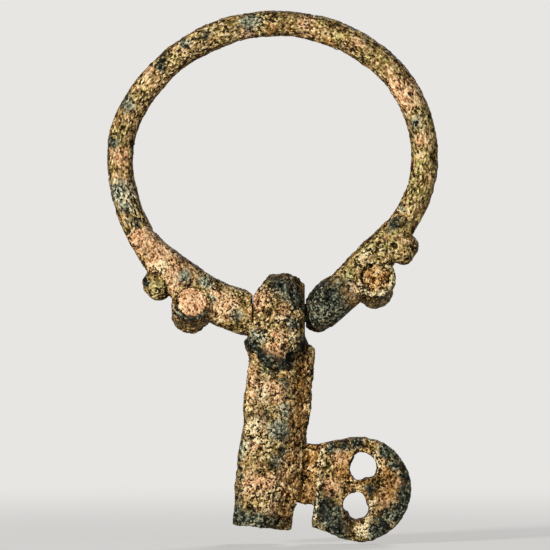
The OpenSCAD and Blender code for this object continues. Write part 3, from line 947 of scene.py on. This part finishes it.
class RINGKEY_OT_collets(bpy.types.Operator):
    """Makes the two round collets with their cups"""

    bl_idname = "ring_key.collets"
    bl_label = "Collets"

    def execute(self, context):
        sizes, colours = chosen(context)
        patches = {
            "soot": (
                *run((-7.2, -1.9, -11.7), (-6.3, -2.0, -12.4), 0.5, 3),
                *run((-5.9, -2.0, -12.4), (-5.0, -1.9, -11.8), 0.45, 3),
                # Ends with the painted shadow in the groove round the right fill
                (8.5, -1.2, -11.0, 0.6), *RIGHT_GAP_SHADOW,
            ),
            "olive": ((7.7, -1.2, -9.6, 2.0), (-6.1, -1.5, -11.4, 1.6)),
            "rust": (
                *run((-7.3, -1.9, -10.9), (-6.0, -2.0, -9.9), 0.4, 3),
                (-4.9, -1.9, -11.2, 0.4),
            ),
            # Painted highlight on the lower rim of the right collet's cup
            "cream_and_highlight": arc(RIGHT_FACE, 1.32, 205, 335, 0.36, 9),
        }
        material = crust("collet_crust", colours, patches)
        for node in ("left_collet", "right_collet"):
            collet = cast_from(node)
            skin_over(collet, sizes.fine_step, wear=0.08)
            fatten(collet, amount=0.06)
            corrode(collet, sizes)
            deliver(collet, node, material)
        return {"FINISHED"}


class RINGKEY_OT_inlays(bpy.types.Operator):
    """Makes the reddish fills of the collets"""

    bl_idname = "ring_key.inlays"
    bl_label = "Inlays"

    def execute(self, context):
        sizes, colours = chosen(context)
        patches = {
            "flesh": ((-6.1, -1.5, -11.0, 3.0), (8.0, -1.6, -9.4, 0.6)),
            "rust": ((7.7, -1.5, -9.4, 2.4),),
            # Painted shadow in the groove round the right fill
            "soot": RIGHT_GAP_SHADOW,
        }
        material = crust("paste_fill", colours, patches, shade=-0.12, scatter=0.2)
        for node in ("left_inlay", "right_inlay"):
            fill = cast_from(node)
            skin_over(fill, sizes.fine_step, wear=0.06)
            if node == "left_inlay":
                fatten(fill, amount=0.2)
            corrode(fill, sizes, swell=0.3, lumps=0.8, grain=1.2, pits=0.8)
            deliver(fill, node, material)
        return {"FINISHED"}


class RINGKEY_OT_pin(bpy.types.Operator):
    """Dresses the hinge pin, whose own solid stays"""

    bl_idname = "ring_key.pin"
    bl_label = "Hinge Pin"

    def execute(self, context):
        pin = frame["nodes"]["hinge_pin"]
        pin.data.materials.clear()
        pin.data.materials.append(
            crust("pin_crust", context.scene.ring_key_colours, {}, shade=0.15)
        )
        return {"FINISHED"}


class RINGKEY_OT_knuckle(bpy.types.Operator):
    """Makes the knuckle at the head of the key"""

    bl_idname = "ring_key.knuckle"
    bl_label = "Knuckle"

    def execute(self, context):
        sizes, colours = chosen(context)
        knuckle = cast_from("knuckle")
        skin_over(knuckle, sizes.skin_step, wear=0.16)
        # The chin, drawn down
        press(knuckle, (-0.9, -2.4, -15.3), (0.9, -2.4, -15.6), 1.2, -0.65, direction="Z")
        corrode(knuckle, sizes, swell=0.6, lumps=1.2, grain=1.2)
        # The pit in the face
        press(knuckle, (-0.45, -2.5, -11.7), (-0.25, -2.5, -11.8), 0.4, -0.25)
        patches = {
            "soot": (
                (0.3, -1.9, -9.8, 0.35), *run((2.5, -1.4, -10.6), (2.5, -1.4, -13.4), 0.5, 4),
                (1.3, -2.0, -10.0, 0.3), (-0.5, -2.6, -11.7, 0.28),
                # Painted shade along the lower edge of the chin, where it overhangs the shank
                *run((-2.0, -1.4, -14.4), (0.4, -2.3, -16.0), 0.8, 5),
                *run((0.6, -2.3, -16.2), (2.2, -1.6, -13.8), 0.6, 5),
            ),
            "slate": (
                *run((0.6, -2.0, -9.7), (2.1, -1.8, -10.4), 1.0, 3),
                (-1.2, -2.3, -13.6, 0.7), (1.5, -2.4, -12.6, 0.6),
            ),
            "flesh": (
                (-1.2, -2.0, -10.9, 0.8), (0.2, -2.6, -14.6, 0.8), (1.0, -2.4, -15.1, 0.4),
                (0.9, -2.6, -12.0, 0.6), (0.5, -2.6, -13.5, 0.5),
            ),
            "cream_and_highlight": ((0.5, -2.7, -12.3, 0.35), (1.5, -2.3, -13.6, 0.3)),
        }
        material = crust("knuckle_crust", colours, patches, shade=0.11, scatter=0.8)
        deliver(knuckle, "knuckle", material)
        return {"FINISHED"}


class RINGKEY_OT_shank(bpy.types.Operator):
    """Makes the squared shank"""

    bl_idname = "ring_key.shank"
    bl_label = "Shank"

    def execute(self, context):
        sizes, colours = chosen(context)
        shank = cast_from("shank")
        slice_off(shank, *SHANK_CUT)
        skin_over(shank, sizes.skin_step, wear=0.25)
        # Dents as start, end, radius and height, the last two under the knuckle's chin
        for dent in (
            ((-0.2, -1.9, -28.0), (0.1, -1.2, -28.2), 0.7, -0.3),
            ((-2.6, -1.6, -19.5), (-2.6, -1.6, -19.9), 0.8, -0.15),
            ((2.6, -1.2, -18.6), (2.5, -1.2, -19.4), 0.8, -0.15),
            ((1.6, -2.0, -27.2), (1.7, -1.6, -28.0), 0.6, -0.2),
            ((-1.9, -1.9, -15.6), (-0.4, -2.0, -16.6), 0.5, -0.3),
            ((0.2, -2.0, -16.7), (1.9, -1.8, -15.3), 0.5, -0.3),
        ):
            press(shank, *dent)
        corrode(shank, sizes, swell=0.8, grain=0.8)
        patches = {
            "flesh": (
                *run((-1.9, -1.9, -17.0), (0.5, -2.0, -17.6), 0.65, 4), (0.4, -2.0, -18.4, 0.5),
                *run((-1.4, -1.9, -24.8), (0.8, -2.0, -24.3), 0.8, 3), (-1.4, -1.9, -21.8, 0.5),
                (-1.8, -1.9, -16.6, 0.6), (-1.7, -1.9, -18.0, 0.5), (0.3, -2.0, -26.7, 0.6),
            ),
            "soot": (
                *run((-2.9, -1.8, -27.3), (1.5, -1.8, -27.9), 0.85, 7),
                *run((-2.5, -1.8, -22.6), (-2.7, -1.8, -26.6), 0.38, 6),
                # Painted shade and shadow on the shank under the knuckle's chin
                *run((-2.2, -1.9, -15.5), (0.4, -2.0, -16.6), 0.3, 6),
                *run((0.8, -2.0, -16.7), (2.2, -1.8, -14.4), 0.3, 6),
                *run((1.2, -2.0, -17.2), (1.8, -1.9, -18.6), 0.3, 3),
                (-0.7, -2.0, -19.5, 0.45), (1.2, -2.0, -21.2, 0.55), (0.9, -2.0, -22.2, 0.45),
            ),
            "rust": run((2.6, -1.2, -16.0), (1.3, -1.3, -27.0), 0.85, 9),
            "slate": (
                (0.4, -2.0, -20.6, 0.9), (-2.3, -1.8, -21.8, 0.6), (0.2, -2.0, -23.0, 0.6),
                (1.0, -2.0, -19.2, 0.6), (0.6, -2.0, -25.8, 0.5),
            ),
            "cream_and_highlight": (
                (-0.7, -2.0, -17.9, 0.6), (-1.5, -1.9, -20.3, 0.6), (-1.2, -1.9, -21.3, 0.4),
            ),
        }
        deliver(shank, "shank", crust("shank_crust", colours, patches))
        return {"FINISHED"}


class RINGKEY_OT_bit(bpy.types.Operator):
    """Makes the pierced bit with its web"""

    bl_idname = "ring_key.bit"
    bl_label = "Bit"

    def execute(self, context):
        sizes, colours = chosen(context)
        bit = cast_from("bit")
        skin_over(bit, sizes.skin_step, wear=0.10)
        place = points(bit)[:, (0, 2)]
        holes = np.array([mount_place(mount) for mount in HOLE_DENTS])
        far = np.linalg.norm(place[:, None] - holes[None], axis=2).min(axis=1)
        rim = beyond(far, *OFF_HOLES) * beyond(place[:, 0], *OFF_SHANK)
        wear_down(bit, rim, sizes.skin_step, wear=0.42)
        # A ridge along the plate's inner edge, and a furrow in the web beside it
        for front in (-1.0, 1.0):
            press(bit, (3.8, 1.3 * front, -22.2), (3.3, 1.3 * front, -27.4), 0.5, 0.14)
            press(bit, (2.9, 0.7 * front, -21.9), (2.5, 0.7 * front, -26.0), 0.6, -0.2)
        for (x, z), dents in zip(holes, HOLE_DENTS.values()):
            for turn, height in dents:
                wall_x = x + HOLE_RADIUS * math.cos(math.radians(turn))
                wall_z = z + HOLE_RADIUS * math.sin(math.radians(turn))
                start, end = (wall_x, -BIT_FACE, wall_z), (wall_x, BIT_FACE, wall_z)
                press(bit, start, end, HOLE_DENT_RADIUS, height)
        corrode(bit, sizes, grain=0.8)
        patches = {
            "flesh": (
                (4.4, -1.2, -25.0, 0.7), (8.7, -1.2, -26.0, 0.6), (5.3, -1.2, -22.8, 0.6),
                (9.4, -1.1, -24.4, 0.4),
            ),
            "soot": (
                *run((4.4, -1.1, -22.0), (6.4, -1.1, -21.6), 0.5, 3),
                # Painted shade along the bit's right and lower rim
                *run((8.6, -1.0, -22.3), (10.0, -1.0, -24.0), 0.6, 3),
                *run((10.2, -1.0, -24.2), (9.9, -1.0, -26.4), 0.65, 4),
                *run((9.7, -1.0, -26.7), (7.7, -1.0, -28.3), 0.9, 4),
                *run((3.8, -1.2, -26.5), (5.0, -1.2, -28.0), 1.15, 3), (7.5, -1.2, -25.0, 0.5),
            ),
            "rust": (
                *run((3.0, -0.6, -22.0), (2.5, -0.6, -25.9), 1.0, 5),
                *((x, 0.8 * front, z, 1.45) for x, z in holes for front in (-1, 1)),
                (8.8, -1.2, -25.2, 1.0), (8.8, -1.2, -23.8, 0.8), (6.4, -1.2, -27.6, 0.8),
                (5.2, -1.2, -23.8, 0.7),
            ),
            "cream_and_highlight": (
                # The first row is a painted highlight along the ridge on the plate's inner edge
                *run((3.7, -1.2, -22.3), (3.1, -1.2, -27.2), 0.3, 7), (6.7, -1.2, -28.1, 0.5),
                *run((7.8, -1.2, -22.5), (7.9, -1.2, -23.5), 0.3, 3),
                *run((7.4, -1.2, -26.2), (6.9, -1.2, -27.7), 0.3, 4),
            ),
        }
        material = crust("bit_crust", colours, patches, shade=0.06, scatter=0.7)
        deliver(bit, "bit", material)
        return {"FINISHED"}


class RINGKEY_OT_stage(bpy.types.Operator):
    """Sets up the floor, the lamps and the camera"""

    bl_idname = "ring_key.stage"
    bl_label = "Stage"

    def execute(self, context):
        stage = context.scene.ring_key_stage
        middle = Vector((stage.view_x, 0.0, -stage.view_drop))
        self.lay_floor(stage)
        context.scene.world = self.surroundings(stage)
        for name, place, size, power in LAMPS:
            self.lamp(name, place, middle, size, getattr(stage, power))

        bpy.ops.object.camera_add(location=middle + Vector((0.0, -stage.view_distance, 0.0)))
        camera = bpy.context.object
        camera.name = "photo_camera"
        camera.rotation_euler = (math.pi / 2, 0.0, 0.0)
        camera.data.sensor_width = SENSOR
        camera.data.lens = camera.data.sensor_width * stage.view_distance / stage.view_width
        camera.data.clip_start = NEAREST
        context.scene.camera = camera
        context.scene.view_settings.view_transform = "Standard"
        return {"FINISHED"}

    def lay_floor(self, stage):
        """Lays the floor, which looks evenly lit but for the shadow near the key."""
        bpy.ops.object.select_all(action="DESELECT")
        bpy.ops.mesh.primitive_circle_add(
            vertices=FLOOR_CORNERS, radius=stage.floor_radius, fill_type="NGON",
            location=(0.0, 0.0, CAD_BOX[0].z - stage.floor_gap),
        )
        floor = bpy.context.object
        floor.name = "floor"
        paint = Finish(bpy.data.materials.new("floor_paint"))
        matt = paint.add("ShaderNodeBsdfDiffuse", None, {"Color": (*stage.floor_colour, 1.0)})
        glow = paint.add("ShaderNodeEmission", None, {"Color": (*stage.floor_colour, 1.0)})
        far = paint.vector("LENGTH", {0: paint.own_place()}, out="Value")
        shown = paint.seen() * (NEAR_GLOW + far.band(*GLOW_BAND) * (1 - NEAR_GLOW))
        both = paint.add("ShaderNodeMixShader", None, {0: shown, 1: matt, 2: glow})
        paint.add("ShaderNodeOutputMaterial", None, {"Surface": both})
        floor.data.materials.append(paint.owner)

    def surroundings(self, stage):
        """A world in the floor's colour that lights the key only faintly."""
        sky = Finish(bpy.data.worlds.new("studio"))
        light = {"Color": (1.0, 1.0, 1.0, 1.0), "Strength": stage.ambient}
        around = sky.add("ShaderNodeBackground", None, light)
        backdrop = sky.add("ShaderNodeBackground", None, {"Color": (*stage.floor_colour, 1.0)})
        both = sky.add("ShaderNodeMixShader", None, {0: sky.seen(), 1: around, 2: backdrop})
        sky.add("ShaderNodeOutputWorld", None, {"Surface": both})
        return sky.owner

    def lamp(self, name, place, target, size, power):
        """Hangs a square lamp that looks at the target."""
        bpy.ops.object.light_add(type="AREA", location=place)
        lamp = bpy.context.object
        lamp.name = name
        lamp.data.size = size
        lamp.data.energy = power
        lamp.rotation_euler = (target - Vector(place)).to_track_quat("-Z", "Y").to_euler()


OPERATORS = (
    RINGKEY_OT_hoop,
    RINGKEY_OT_shoulders,
    RINGKEY_OT_beads,
    RINGKEY_OT_collets,
    RINGKEY_OT_inlays,
    RINGKEY_OT_pin,
    RINGKEY_OT_knuckle,
    RINGKEY_OT_shank,
    RINGKEY_OT_bit,
    RINGKEY_OT_stage,
)


class RINGKEY_PT_panel(bpy.types.Panel):
    """Lists the pieces of the key and their settings"""

    bl_idname = "RINGKEY_PT_panel"
    bl_label = "Ring Key"
    bl_space_type = "VIEW_3D"
    bl_region_type = "UI"
    bl_category = "Ring Key"

    def draw(self, context):
        for operator in OPERATORS:
            self.layout.operator(operator.bl_idname)
        for group in (
            context.scene.ring_key_sizes,
            context.scene.ring_key_colours,
            context.scene.ring_key_stage,
        ):
            column = self.layout.box().column()
            for key in group.__annotations__:
                column.prop(group, key)


CLASSES = (RingKeySizes, RingKeyColours, RingKeyStage, *OPERATORS, RINGKEY_PT_panel)


def register():
    for each in CLASSES:
        bpy.utils.register_class(each)
    bpy.types.Scene.ring_key_sizes = PointerProperty(type=RingKeySizes)
    bpy.types.Scene.ring_key_colours = PointerProperty(type=RingKeyColours)
    bpy.types.Scene.ring_key_stage = PointerProperty(type=RingKeyStage)


def unregister():
    del bpy.types.Scene.ring_key_stage
    del bpy.types.Scene.ring_key_colours
    del bpy.types.Scene.ring_key_sizes
    for each in reversed(CLASSES):
        bpy.utils.unregister_class(each)


def main():
    register()
    bpy.ops.ring_key.hoop()
    bpy.ops.ring_key.shoulders()
    bpy.ops.ring_key.beads()
    bpy.ops.ring_key.collets()
    bpy.ops.ring_key.inlays()
    bpy.ops.ring_key.pin()
    bpy.ops.ring_key.knuckle()
    bpy.ops.ring_key.shank()
    bpy.ops.ring_key.bit()
    bpy.ops.ring_key.stage()


if __name__ == "__main__":
    main()
